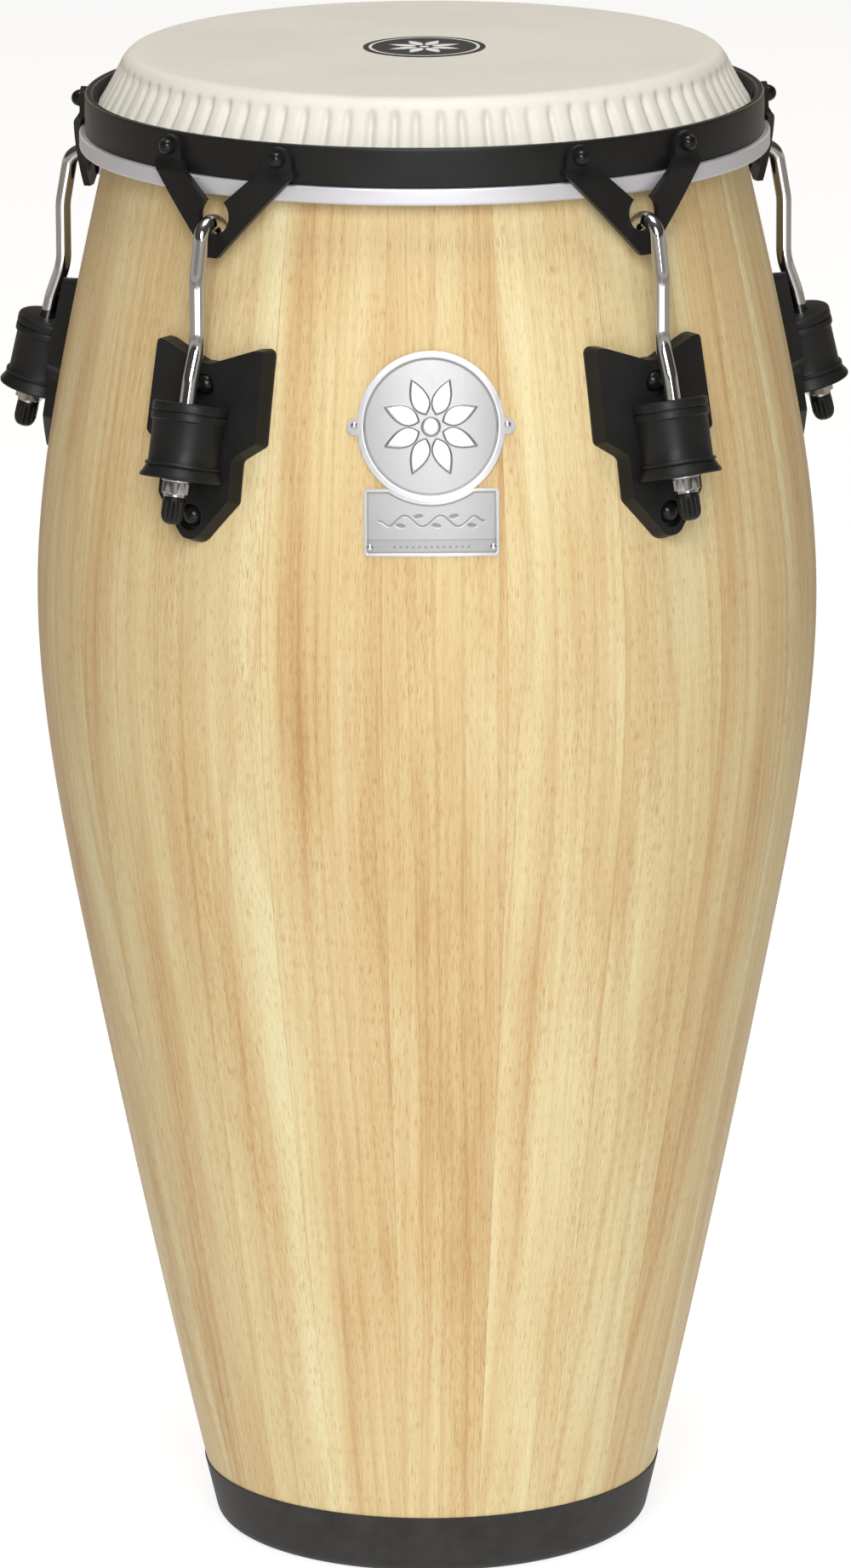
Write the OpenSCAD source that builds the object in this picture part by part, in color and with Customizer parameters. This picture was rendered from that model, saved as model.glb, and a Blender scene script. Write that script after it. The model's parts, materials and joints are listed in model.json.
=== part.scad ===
// Conga drum: a stave shell on a rubber foot, a skin held by a steel ring, and five tuning lugs.
// The drum's axis is Z, the floor is Z = 0 and the badge faces -Y.

/* [Shell] */
// Number of glued staves round the shell
stave_count = 20; // [16:2:24]
// Angle from the front to the first stave's middle, in degrees
stave_turn = 1.8; // [0:0.1:9]
// Thickness of the shell wall, measured radially
wall = 13; // [10:0.5:16]
// Height of the shell's lower end above the floor
shell_base = 10; // [9:1:12]
// Height of the bearing edge that the skin lies on
bearing_z = 760.1; // [740:0.1:780]
// Radius where the bearing edge peaks
bearing_r = 142; // [136:0.5:144]

/* [Foot] */
// Height of the rubber ring's upper edge
foot_top = 31.75; // [20:0.25:45]
// How far the rubber stands proud of the wood
foot_proud = 0.8; // [0.4:0.1:3]

/* [Head and ring] */
// Height of the skin's playing surface
head_z = 762; // [760.6:0.1:780]
// Thickness of the skin
skin = 1.5; // [0.8:0.1:2]
// Diameter of the printed disc at the middle of the skin
label_d = 61; // [40:1:90]
// Outer radius of the tension ring
ring_r = 169.4; // [168:0.1:172]
// Thickness of the tension ring's steel bar
ring_t = 4; // [3:0.5:5]
// Height of the tension ring's lower edge
ring_z = 721.5; // [718:0.5:724]
// Height of the tension ring's bar
ring_h = 19.5; // [15:0.5:24]
// Outer radius of the flesh hoop under the ring
hoop_r = 172.3; // [171.5:0.1:172.3]
// Height of the flesh hoop
hoop_h = 8.3; // [6:0.1:10]

/* [Lugs] */
// Number of tuning lugs
lug_count = 5; // [4:1:6]
// Angle from the front to the first lug, in degrees
lug_turn = 36; // [0:1:72]
// Diameter of the tuning hook's rod
rod_d = 7.8; // [7:0.1:8]
// Lean of the rod's threaded end from the vertical, in degrees
rod_lean = 14; // [12:0.5:16]
// Thickness of the bracket's plate
plate_t = 8; // [5:0.5:10]
// Thickness of the gasket behind the bracket
gasket_t = 1; // [0.5:0.1:2]
// Width of the tuning nut across its flats
nut_flats = 13; // [12:0.5:14]
// Height of the tuning nut
nut_h = 7.5; // [6:0.5:10]

/* [Badge] */
// Diameter of the round badge
badge_d = 71.6; // [60:0.1:80]
// Height of the round badge's middle above the floor
badge_z = 607; // [600:1:615]
// Width of the name plate below it
name_w = 65.7; // [50:0.1:72]

/* [Hidden] */
$fn = 48;

// the shell's outer curve: height, radius and slope (radius gained per mm of height)
curve = [[10, 111.1, 0.234], [300, 172.4, 0.193], [485, 196.4, 0], [620, 179.4, -0.205], [757, 149.1, -0.2226]];
knot_step = 30;
top_knot = floor((bearing_z - 5 - foot_top) / knot_step);
stave_angle = 360 / stave_count;

ring_in = ring_r - ring_t;
hoop_in = 160.2;
hoop_z = ring_z - hoop_h;

// the ring plates: a tab on the ring at each end, a V between them and a hole for the hook
tab_turn = 10.9;
tab_w = 15.6;
tab_z = ring_z + 12.5;
v_plate_t = 3.5;
v_bottom = 684;
v_fold = 726;
v_hole_z = 704;
v_hole_r = 9;
rivet_r = 2.5;
rivet_head_r = 4.2;
rivet_head_h = 5;

// the rod: its centreline in the plane of the drum's axis, as radius and height
rod_r = rod_d / 2;
run_fit = 0.08;
axis_point = [206.2, 593];
bend_low = [197.85, 626.5];
bend_mid = [191.7, 643];
bend_high = [191.7, 674];
arch_middle = [179.2, 692.3];
arch_r = 9;
soft_bend = 20;
// a bend is this much fatter than the straight rod, and each straight run reaches this far into it
bend_swell = 0.02;
bend_lap = 0.05;

// the barrel, measured up the rod from axis_point
barrel_top = 23;
barrel_lip = 14;
barrel_bead = -7.4;
barrel_foot = -14.4;
barrel_r = 17.3;
barrel_back = -17.5;
// the barrel's own axis lies this far behind the rod's
barrel_behind = 4;
bead = 1.1;
flare = 3;
washer_t = 1;
nut_top = barrel_foot - washer_t;
cap_h = 13.3;
cap_r = 5.6;
cap_depth = 11;
rod_end = nut_top - nut_h - cap_depth + 1;

// the bracket's plate and its bolts
plate_z = 590;
bolt_z = [621.2, 558.4];
bolt_r = 3;
bolt_gap = 0.3;
bolt_head_r = 5.25;
bolt_head_h = 5.5;
sink = 3.5;
face_gap = 0.15;
seat_gap = 0.5;
backing_t = 2.5;
bolt_washer_t = 1.2;
bolt_nut_t = 5;

// the badge's pins: sideways place and height
ear_pin = [37, badge_z];
name_pin = [29.9, 549];
name_bottom = 545;
name_top = 579;
badge_t = 1.8;
name_t = 0.9;
pin_r = 1;
pin_depth = 8;

// ---- shapes that several parts share ----

function hermite(a, b, z) =
  let (h = b[0] - a[0], t = (z - a[0]) / h)
  (2 * t ^ 3 - 3 * t ^ 2 + 1) * a[1] + (t ^ 3 - 2 * t ^ 2 + t) * h * a[2]
  + (3 * t ^ 2 - 2 * t ^ 3) * b[1] + (t ^ 3 - t ^ 2) * h * b[2];

function curve_part(z, i = 0) = i >= len(curve) - 2 || z < curve[i + 1][0] ? i : curve_part(z, i + 1);

// the shell's outer radius at a height
function wood_r(z) = let (i = curve_part(z)) hermite(curve[i], curve[i + 1], z);

// how far the shell's face leans back from the vertical at a height, in degrees
function lean_at(z) = atan((wood_r(z - 1) - wood_r(z + 1)) / 2);

// the shell is turned as short straight stretches between these heights
function knot_z(i) = foot_top + knot_step * i;

// a band that follows the shell's face between two knots, from inner to outer mm out of the wood
module band(first, last, inner, outer, angle) {
  rotate([0, 0, -angle / 2])
    rotate_extrude(angle = angle)
      polygon(concat(
        [for (i = [first:last]) [wood_r(knot_z(i)) + outer, knot_z(i)]],
        [for (i = [last:-1:first]) [wood_r(knot_z(i)) + inner, knot_z(i)]]));
}

// points along the arc that rounds corner b between a and c
function corner(a, b, c, r, steps = 3) =
  let (
    to_a = (a - b) / norm(a - b),
    to_c = (c - b) / norm(c - b),
    half = acos(to_a * to_c) / 2,
    middle = b + (to_a + to_c) / norm(to_a + to_c) * r / sin(half),
    start = b + to_a * r / tan(half) - middle,
    side = (to_a[0] * to_c[1] - to_a[1] * to_c[0]) > 0 ? -1 : 1
  )
  [for (k = [0:steps])
    let (w = side * (180 - 2 * half) * k / steps)
    middle + [start[0] * cos(w) - start[1] * sin(w), start[0] * sin(w) + start[1] * cos(w)]];

// an outline with each corner rounded; each point is x, y and its corner's radius
function rounded(points) =
  let (n = len(points))
  [for (i = [0:n - 1])
    let (a = points[(i + n - 1) % n], b = points[i], c = points[(i + 1) % n])
    each corner([a[0], a[1]], [b[0], b[1]], [c[0], c[1]], b[2])];

// a full outline from the points of its right half, listed from the bottom up
function both_sides(right) =
  concat(right, [for (i = [len(right) - 1:-1:0]) if (right[i][0] > 0) [-right[i][0], right[i][1], right[i][2]]]);

// stands children made in the X-Z plane at a turn from the front
module at_turn(turn) rotate([0, 0, turn - 90]) children();

function lug_at(k) = lug_turn + 360 / lug_count * k;

module at_every_lug() for (k = [0:lug_count - 1]) at_turn(lug_at(k)) children();

// a frame on the shell's face: X out of the wood, Z up the slope
module on_face(z) translate([wood_r(z), 0, z]) rotate([0, -lean_at(z), 0]) children();

// an outline drawn sideways and up, pushed out along X from one depth to another
module cut_out(from, to) translate([from, 0, 0]) rotate([90, 0, 90]) linear_extrude(to - from) children();

// a bar along X from one depth to another
module bar(r, from, to) translate([from, 0, 0]) rotate([0, 90, 0]) cylinder(h = to - from, r = r);

// a dome whose flat side faces -X
module dome(r, h) {
  ball = (r ^ 2 + h ^ 2) / (2 * h);
  rotate([0, 90, 0]) intersection() {
    translate([0, 0, h - ball]) sphere(r = ball);
    cylinder(h = h + 1, r = r + 1);
  }
}

// a frame on the threaded end of a rod: Z up the rod
module on_rod() translate([axis_point[0], 0, axis_point[1]]) rotate([0, -rod_lean, 0]) children();

// ---- shell ----

module stave(index) {
  wood_outline = concat(
    [[wood_r(shell_base), shell_base]],
    [for (i = [0:top_knot]) [wood_r(knot_z(i)), knot_z(i)]],
    [[wood_r(bearing_z - 4), bearing_z - 4], [bearing_r + 5.2, bearing_z - 2], [bearing_r + 3, bearing_z - 0.6],
     [bearing_r, bearing_z], [bearing_r - 3, bearing_z - 1.2], [bearing_r - 4.6, bearing_z - 5]],
    [for (i = [top_knot:-1:0]) [wood_r(knot_z(i)) - wall, knot_z(i)]],
    [[wood_r(shell_base) - wall, shell_base]]);
  middle = stave_turn + stave_angle * index;
  color("burlywood") difference() {
    at_turn(middle - stave_angle / 2) rotate_extrude(angle = stave_angle) polygon(wood_outline);
    for (k = [0:lug_count - 1])
      if (on_stave(lug_at(k), middle)) at_turn(lug_at(k)) bolt_holes();
    if (on_stave(pin_turn(ear_pin), middle)) at_pin(ear_pin, 1) bar(pin_r, -pin_depth, 2);
    if (on_stave(-pin_turn(ear_pin), middle)) at_pin(ear_pin, -1) bar(pin_r, -pin_depth, 2);
    if (on_stave(pin_turn(name_pin), middle)) at_pin(name_pin, 1) bar(pin_r, -pin_depth, 2);
    if (on_stave(-pin_turn(name_pin), middle)) at_pin(name_pin, -1) bar(pin_r, -pin_depth, 2);
  }
}

// whether a turn from the front falls on the stave whose middle is given
function on_stave(turn, middle) = abs((turn - middle + 720 + 180) % 360 - 180) < stave_angle / 2;

module foot_ring() {
  outer = rounded([
    [wood_r(shell_base) - wall - 1, 0, 0.5],
    [wood_r(0) + foot_proud, 0, 8],
    [wood_r(foot_top) + foot_proud, foot_top, 0.3],
    [wood_r(foot_top) + face_gap, foot_top, 0.1],
    [wood_r(shell_base) + face_gap, shell_base, 0.1],
    [wood_r(shell_base) - wall - 1, shell_base, 0.5]]);
  color("#161616") rotate_extrude() polygon(outer);
}

// ---- skin, hoop and ring ----

module drum_head() {
  collar = [[bearing_r + 4, 0], [bearing_r + 5.9, -1.1], [bearing_r + 9, -5], [bearing_r + 13.2, -12],
            [bearing_r + 20, -26], [ring_in - 1.2, -32]];
  under = [for (p = collar) [p[0] - skin * 0.9, head_z + p[1] - skin * 0.6]];
  color("#e6e2d3") rotate_extrude(angle = 360) polygon(concat(
    [[0, head_z]],
    [for (p = collar) [p[0], head_z + p[1]]],
    [[ring_in - 1.2, ring_z], [ring_in - 1.2 - skin * 0.9, ring_z]],
    [for (i = [len(under) - 1:-1:1]) under[i]],
    [[bearing_r + 2, head_z - skin], [0, head_z - skin]]));
}

module head_label() color("#1c1c1c") translate([0, 0, head_z]) cylinder(h = 0.3, d = label_d);

module flesh_hoop() {
  color("#c9c8d6") rotate_extrude() polygon([
    [hoop_in, hoop_z], [hoop_r - 0.6, hoop_z], [hoop_r, hoop_z + 0.6], [hoop_r, ring_z], [hoop_in, ring_z]]);
}

module tension_ring() {
  color("#151515") difference() {
    translate([0, 0, ring_z]) rotate_extrude() translate([ring_in, 0]) square([ring_t, ring_h]);
    at_rivets() bar(rivet_r + 0.05, ring_in - 5, ring_r + 5);
  }
}

module at_rivets()
  for (k = [0:lug_count - 1], side = [-1, 1])
    at_turn(lug_at(k) + side * tab_turn) translate([0, 0, tab_z]) children();

module ring_rivets() {
  color("#1b1b1b") at_rivets() {
    bar(rivet_r, ring_in + 0.1, ring_r + v_plate_t + 1);
    translate([ring_r + v_plate_t + 0.05, 0, 0]) dome(rivet_head_r, rivet_head_h);
  }
}

module ring_plate(k) {
  tab_x = ring_r * sin(tab_turn);
  tab_top = tab_z + 5.8;
  face = [[ring_r + 0.05, tab_top + 1], [ring_r + 0.05, v_fold + 1.5], [ring_r + 3.2, v_fold - 2],
          [ring_r + 6.6, v_bottom - 1]];
  outline = [[3, v_bottom, 2.5], [42, v_fold, 2], [tab_x + tab_w / 2, v_fold + 3, 1.5],
             [tab_x + tab_w / 2, tab_top, 7], [tab_x - tab_w / 2, tab_top, 7],
             [tab_x - tab_w / 2, v_fold + 2, 1.5], [21, v_fold - 1.5, 1.5], [6.5, v_hole_z + 5.5, 1.5]];
  color("#141414") at_turn(lug_at(k)) difference() {
    intersection() {
      rotate([0, 0, -18]) rotate_extrude(angle = 36)
        polygon(concat(face, [for (i = [3:-1:0]) face[i] + [v_plate_t, 0]]));
      cut_out(120, 200) difference() {
        polygon(rounded(both_sides(outline)));
        translate([0, v_hole_z]) circle(r = v_hole_r);
      }
    }
    for (side = [-1, 1])
      rotate([0, 0, side * tab_turn]) translate([0, 0, tab_z]) bar(rivet_r + 0.05, ring_r - 5, ring_r + 15);
  }
}

// ---- tuning lugs ----

plate_outline = [
  [3, -45.4, 2.5], [22.4, -24, 4], [22.4, -3.2, 4], [34.3, 5.2, 3], [33.4, 53, 3.5], [26, 52, 4], [3, 43.5, 3]];

module plate_shape() polygon(rounded(both_sides(plate_outline)));

module bolt_holes() for (z = bolt_z) on_face(z) bar(bolt_r + bolt_gap, -40, 30);

// how far a bolt's head seats off the wood, down in its counterbore
function seat(z) = (gasket_t + plate_t) * cos(lean_at(z)) - sink;

// the barrel is turned, with two beads at its lip, one at its waist and a flared foot, and its back is cut flat
module barrel() intersection() {
  translate([-barrel_behind, 0, 0]) rotate_extrude() polygon([
    [0, barrel_foot], [barrel_r + flare, barrel_foot], [barrel_r + flare, barrel_foot + 1.2],
    [barrel_r + 0.5, barrel_bead - 0.9], [barrel_r + bead, barrel_bead - 0.9], [barrel_r + bead, barrel_bead + 0.9],
    [barrel_r, barrel_bead + 0.9], [barrel_r, barrel_lip], [barrel_r + bead, barrel_lip],
    [barrel_r + bead, barrel_lip + 3.8], [barrel_r + 0.4, barrel_lip + 3.8], [barrel_r + 0.4, barrel_lip + 4.4],
    [barrel_r + bead, barrel_lip + 4.4], [barrel_r + bead, barrel_top - 0.8], [barrel_r + 0.3, barrel_top],
    [0, barrel_top]]);
  translate([barrel_back, -40, -40]) cube(80);
}

module lug_bracket(k) {
  color("#171717") at_turn(lug_at(k)) difference() {
    union() {
      intersection() {
        band(16, 21, gasket_t, gasket_t + plate_t, 26);
        on_face(plate_z) cut_out(-20, 30) plate_shape();
      }
      on_rod() barrel();
    }
    on_rod() translate([0, 0, barrel_foot - 1]) cylinder(h = barrel_top - barrel_foot + 2, r = rod_r + run_fit);
    bolt_holes();
    for (z = bolt_z) on_face(z) bar(bolt_head_r + 1.3, seat(z), seat(z) + sink + bolt_head_h);
  }
}

module bracket_gaskets() {
  color("#0e0e0e") at_every_lug() difference() {
    intersection() {
      band(16, 21, 0, gasket_t, 26);
      on_face(plate_z) cut_out(-20, 30) plate_shape();
    }
    bolt_holes();
  }
}

module bracket_bolts() {
  tail = -(wall + backing_t + bolt_washer_t + bolt_nut_t + 1.5);
  color("#1d1d1d") at_every_lug() for (z = bolt_z) on_face(z) {
    bar(bolt_r, tail, seat(z) + 1);
    translate([seat(z) + face_gap, 0, 0]) dome(bolt_head_r, bolt_head_h);
  }
}

module backing_plates() {
  color("#8a8d90") at_every_lug() difference() {
    intersection() {
      band(16, 21, -wall - backing_t, -wall, 14);
      on_face(plate_z) cut_out(-40, 10) polygon(rounded(both_sides([[14, -47, 4], [14, 45, 4]])));
    }
    bolt_holes();
  }
}

function backing_face(z) = -(wall + backing_t) * cos(lean_at(z)) - seat_gap;

module bolt_washers() {
  color("#b9bcbf") at_every_lug() for (z = bolt_z) on_face(z) difference() {
    bar(7, backing_face(z) - bolt_washer_t, backing_face(z));
    bar(bolt_r + 0.2, -40, 0);
  }
}

module bolt_nuts() {
  color("#b9bcbf") at_every_lug() for (z = bolt_z) on_face(z) difference() {
    translate([backing_face(z) - bolt_washer_t - bolt_nut_t, 0, 0]) rotate([0, 90, 0])
      cylinder(h = bolt_nut_t, r = 5 / cos(30), $fn = 6);
    bar(bolt_r + 0.03, -40, 0);
  }
}

// headings are degrees from straight up towards the drum's axis
function heading(a, b) = atan2(a[0] - b[0], b[1] - a[1]);

// straight runs and bends: each step is a length, or a turn towards the axis and its radius
module rod_run(steps, i = 0) {
  if (i < len(steps)) {
    turn = steps[i][0];
    size = steps[i][1];
    if (turn == 0) {
      translate([0, 0, -bend_lap]) cylinder(h = size + 2 * bend_lap, r = rod_r);
      translate([0, 0, size]) rod_run(steps, i + 1);
    } else {
      side = sign(turn);
      translate([-side * size, 0, 0]) rotate([90, 0, side > 0 ? 0 : 180]) rotate_extrude(angle = abs(turn))
        translate([size, 0]) circle(r = rod_r + bend_swell);
      translate([-side * size, 0, 0]) rotate([0, -turn, 0]) translate([side * size, 0, 0]) rod_run(steps, i + 1);
    }
  }
}

module tuning_hook(k) {
  to_arch = norm(arch_middle - bend_high);
  tangent_run = sqrt(to_arch ^ 2 - arch_r ^ 2);
  shank_heading = heading(bend_low, bend_mid);
  arch_heading = heading(bend_high, arch_middle) - asin(arch_r / to_arch);
  low_turn = shank_heading - rod_lean;
  low_cut = soft_bend * tan(low_turn / 2);
  mid_cut = soft_bend * tan(shank_heading / 2);
  high_cut = soft_bend * tan(arch_heading / 2);
  threaded = norm(bend_low - axis_point) - rod_end;
  color("#d4d6d8") at_turn(lug_at(k)) on_rod() translate([0, 0, rod_end]) rod_run([
    [0, threaded - low_cut],
    [low_turn, soft_bend],
    [0, norm(bend_mid - bend_low) - low_cut - mid_cut],
    [-shank_heading, soft_bend],
    [0, norm(bend_high - bend_mid) - mid_cut - high_cut],
    [arch_heading, soft_bend],
    [0, tangent_run - high_cut],
    [180 - arch_heading, arch_r],
    [0, 3]]);
}

module tuning_nut(k) {
  color("#c6c8ca") at_turn(lug_at(k)) on_rod() difference() {
    translate([0, 0, nut_top - nut_h]) {
      translate([0, 0, 1.6]) cylinder(h = nut_h - 1.6, r = nut_flats / 2 / cos(30), $fn = 6);
      cylinder(h = 1.6, r = nut_flats / 2 - 0.3);
    }
    translate([0, 0, nut_top - nut_h - 1]) cylinder(h = nut_h + 2, r = rod_r + run_fit);
  }
}

module nut_cap(k) {
  base = nut_top - nut_h;
  color("#101010") at_turn(lug_at(k)) on_rod() difference() {
    translate([0, 0, base - cap_h]) rotate_extrude() polygon(concat(
      [[0, 0]], [for (a = [0:15:90]) [cap_r - 3 + 3 * sin(a), 3 - 3 * cos(a)]], [[cap_r, cap_h], [0, cap_h]]));
    translate([0, 0, base - cap_depth]) cylinder(h = cap_depth + 1, r = rod_r + 0.4);
  }
}

module nut_washers() {
  color("#9fa2a5") at_every_lug() on_rod() translate([0, 0, nut_top]) difference() {
    cylinder(h = washer_t, r = nut_flats / 2 + 0.7);
    translate([0, 0, -1]) cylinder(h = washer_t + 2, r = rod_r + 0.4);
  }
}

// ---- badge ----

function pin_turn(pin) = asin(pin[0] / wood_r(pin[1]));

module at_pin(pin, side) at_turn(side * pin_turn(pin)) on_face(pin[1]) children();

module badge_outline() {
  circle(d = badge_d);
  for (side = [-1, 1]) translate([side * ear_pin[0], 0]) circle(r = 4);
}

module badge_disc() {
  color("#c3c4cb") difference() {
    intersection() {
      at_turn(0) band(17, 21, 0, badge_t, 30);
      at_turn(0) on_face(badge_z) cut_out(-8, 12) badge_outline();
    }
    for (side = [-1, 1]) at_pin(ear_pin, side) bar(pin_r + 0.1, -4, 8);
  }
}

module badge_plate() {
  low = name_bottom - badge_z;
  high = name_top - badge_z;
  color("#c3c4cb") difference() {
    intersection() {
      at_turn(0) band(16, 19, 0, name_t, 30);
      at_turn(0) on_face(badge_z) cut_out(-8, 14)
        polygon(rounded(both_sides([[name_w / 2, low, 2], [name_w / 2, high, 2]])));
    }
    at_turn(0) on_face(badge_z) cut_out(-9, 15) circle(d = badge_d + 0.2);
    for (side = [-1, 1]) at_pin(name_pin, side) bar(pin_r + 0.1, -4, 8);
  }
}

module badge_pins() {
  color("#aeb0b6") for (side = [-1, 1]) {
    at_pin(ear_pin, side) badge_pin(badge_t);
    at_pin(name_pin, side) badge_pin(name_t);
  }
}

module badge_pin(under) {
  bar(pin_r, -pin_depth, under + 0.3);
  translate([under + 0.1, 0, 0]) dome(1.8, 1.1);
}

// ---- every node ----

stave(0);  // stave_01
stave(1);  // stave_02
stave(2);  // stave_03
stave(3);  // stave_04
stave(4);  // stave_05
stave(5);  // stave_06
stave(6);  // stave_07
stave(7);  // stave_08
stave(8);  // stave_09
stave(9);  // stave_10
stave(10);  // stave_11
stave(11);  // stave_12
stave(12);  // stave_13
stave(13);  // stave_14
stave(14);  // stave_15
stave(15);  // stave_16
stave(16);  // stave_17
stave(17);  // stave_18
stave(18);  // stave_19
stave(19);  // stave_20
foot_ring();
drum_head();
head_label();
flesh_hoop();
tension_ring();
ring_rivets();
ring_plate(0);  // ring_plate_1
ring_plate(1);  // ring_plate_2
ring_plate(2);  // ring_plate_3
ring_plate(3);  // ring_plate_4
ring_plate(4);  // ring_plate_5
lug_bracket(0);  // lug_bracket_1
lug_bracket(1);  // lug_bracket_2
lug_bracket(2);  // lug_bracket_3
lug_bracket(3);  // lug_bracket_4
lug_bracket(4);  // lug_bracket_5
tuning_hook(0);  // tuning_hook_1
tuning_hook(1);  // tuning_hook_2
tuning_hook(2);  // tuning_hook_3
tuning_hook(3);  // tuning_hook_4
tuning_hook(4);  // tuning_hook_5
tuning_nut(0);  // tuning_nut_1
tuning_nut(1);  // tuning_nut_2
tuning_nut(2);  // tuning_nut_3
tuning_nut(3);  // tuning_nut_4
tuning_nut(4);  // tuning_nut_5
nut_cap(0);  // nut_cap_1
nut_cap(1);  // nut_cap_2
nut_cap(2);  // nut_cap_3
nut_cap(3);  // nut_cap_4
nut_cap(4);  // nut_cap_5
nut_washers();
bracket_gaskets();
bracket_bolts();
backing_plates();
bolt_washers();
bolt_nuts();
badge_disc();
badge_plate();
badge_pins();
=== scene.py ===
"""Conga drum: the finished look over the CAD frame.

Shapes are drawn in millimetres, Z up, with the badge facing -Y, and are built in metres.
"""
import json
import math
import random
import bmesh
import bpy
from mathutils import Matrix, Vector


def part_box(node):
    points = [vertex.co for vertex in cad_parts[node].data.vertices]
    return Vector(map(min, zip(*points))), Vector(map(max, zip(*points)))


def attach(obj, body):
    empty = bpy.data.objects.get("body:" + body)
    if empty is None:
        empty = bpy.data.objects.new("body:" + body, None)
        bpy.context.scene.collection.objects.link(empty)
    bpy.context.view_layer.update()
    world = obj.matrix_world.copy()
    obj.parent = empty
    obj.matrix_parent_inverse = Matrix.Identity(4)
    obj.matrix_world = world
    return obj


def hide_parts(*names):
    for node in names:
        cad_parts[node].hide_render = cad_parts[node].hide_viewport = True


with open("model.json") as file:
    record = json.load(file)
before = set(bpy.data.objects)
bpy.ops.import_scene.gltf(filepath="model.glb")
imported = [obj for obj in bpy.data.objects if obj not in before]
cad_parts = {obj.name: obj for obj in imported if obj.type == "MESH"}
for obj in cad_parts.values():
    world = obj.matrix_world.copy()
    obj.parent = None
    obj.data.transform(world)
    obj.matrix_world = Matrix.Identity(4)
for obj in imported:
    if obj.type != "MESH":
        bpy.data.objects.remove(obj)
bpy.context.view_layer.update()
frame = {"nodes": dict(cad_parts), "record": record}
MM = 0.001
record = frame["record"]
joints = {j["name"]: j for j in record["behaviour"]["joints"]}


def box_mm(node):
    low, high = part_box(node)
    return Vector(low) / MM, Vector(high) / MM


# ---- sizes, from the CAD frame where it has them ----

FOOT_HIGH = box_mm("foot_ring")[1]
HEAD_Z = box_mm("drum_head")[1].z
RING_LOW, RING_HIGH = box_mm("tension_ring")
HOOP_LOW, HOOP_HIGH = box_mm("flesh_hoop")
LABEL_HIGH = box_mm("head_label")[1]
STAVES = sorted(n for n in frame["nodes"] if n.startswith("stave_"))
LUGS = [k for k in range(1, 9) if f"tuning_hook_{k}" in frame["nodes"]]

# a radius that stands for zero: its points merge into one on the axis
ON_AXIS = 0.001

# the shell's outer curve: height, radius and slope
CURVE = [(10, 111.1, 0.234), (300, 172.4, 0.193), (485, 196.4, 0),
         (620, 179.4, -0.205), (757, 149.1, -0.2226)]
SHELL_BASE, WALL = 10, 13
STAVE_ANGLE = 360 / len(STAVES)
STAVE_TURN, STAVE_SEED = 1.8, 40
BEARING_R, BEARING_Z = 142, 760.1

RING_R, RING_T = RING_HIGH.x, 4
HOOP_INNER = 160.2
SKIN = 1.5
PLEATS, PLEAT_DEPTH, PLEAT_VALLEY = 86, 2.5, 0.18

# the ring's V-shaped plates: two riveted tabs, a fold, and a hole with a notch for the hook
TAB_TURN, TAB_W = 10.9, 15.6
TAB_Z = RING_LOW.z + 12.5
V_T, V_BOTTOM, V_FOLD = 3.5, 684, 726
V_HOLE_Z, V_HOLE_R, V_NOTCH = 704, 9, 5.6

# hook rods, barrels and nuts; a barrel's heights are measured up the rod from the nut's joint
ROD_R = 3.9
ARCH_MIDDLE, ARCH_R = (179.2, 692.3), 9
BENDS = [(197.85, 626.5), (191.7, 643), (191.7, 674)]
SOFT_BEND = 32
THREAD_PITCH, THREAD_DEPTH, THREAD_REACH = 1.25, 0.5, 8
BARREL_TOP, BARREL_LIP, BARREL_BEAD, BARREL_FOOT = 23, 14, -7.4, -14.4
BARREL_R, BARREL_BEHIND, BARREL_BACK = 17.3, 4, -15.5
WASHER_T, NUT_FLATS, NUT_H = 1, 13, 7.5
CAP_R, CAP_H, CAP_DEPTH = 5.6, 13.3, 11
NUT_TOP = BARREL_FOOT - WASHER_T

# the bracket's plate: its right half as x, y and corner radius
PLATE_Z, PLATE_T, GASKET_T, BACKING_T, SINK = 590, 8, 1, 2.5, 3.5
PLATE_OUTLINE = [(4.5, -45.4, 8), (22.4, -24, 4), (22.4, -3.2, 4), (34.3, 5.2, 3),
                 (33.4, 53, 3.5), (26, 52, 4), (3, 43.5, 3)]
BOLT_Z, COUNTERBORE_R = (621.2, 558.4), 6.5

BADGE_Z, BADGE_R, BADGE_T = 607, 35.8, 1.8
EAR_R, EAR_T = 4, 1.0
NAME_W, NAME_LOW, NAME_HIGH, NAME_T = 65.7, 545, 577.5, 0.9
NAME_CORNER, NAME_STRIP = 2, 553
VINE_Z, VINE_HALF, VINE_RISE, VINE_RATE = NAME_STRIP + 9.0, 26, 2.6, 0.36
DOT_PITCH, DOTS_HALF = 3, 19
EAR_PIN, NAME_PIN = (37, BADGE_Z), (29.9, 549)


# ---- geometry shared by the pieces ----

def hermite(a, b, z):
    """A smooth curve's radius at a height, between two knots of height, radius and slope."""
    h = b[0] - a[0]
    t = (z - a[0]) / h
    rise = (2 * t**3 - 3 * t**2 + 1) * a[1] + (3 * t**2 - 2 * t**3) * b[1]
    return rise + (t**3 - 2 * t**2 + t) * h * a[2] + (t**3 - t**2) * h * b[2]


def wood_r(z):
    """The shell's outer radius at a height."""
    i = max(k for k in range(len(CURVE) - 1) if k == 0 or z >= CURVE[k][0])
    return hermite(CURVE[i], CURVE[i + 1], z)


def lean_at(z):
    """How far the shell's face leans back at a height, in radians."""
    return math.atan((wood_r(z - 1) - wood_r(z + 1)) / 2)


def smooth(low, high, x):
    """0 at low and 1 at high, with a soft start and end; low may be the larger."""
    t = min(max((x - low) / (high - low), 0), 1)
    return t * t * (3 - 2 * t)


def at_turn(degrees):
    """The frame whose X points out of the drum at a turn from the front."""
    return Matrix.Rotation(math.radians(degrees - 90), 4, "Z")


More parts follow.
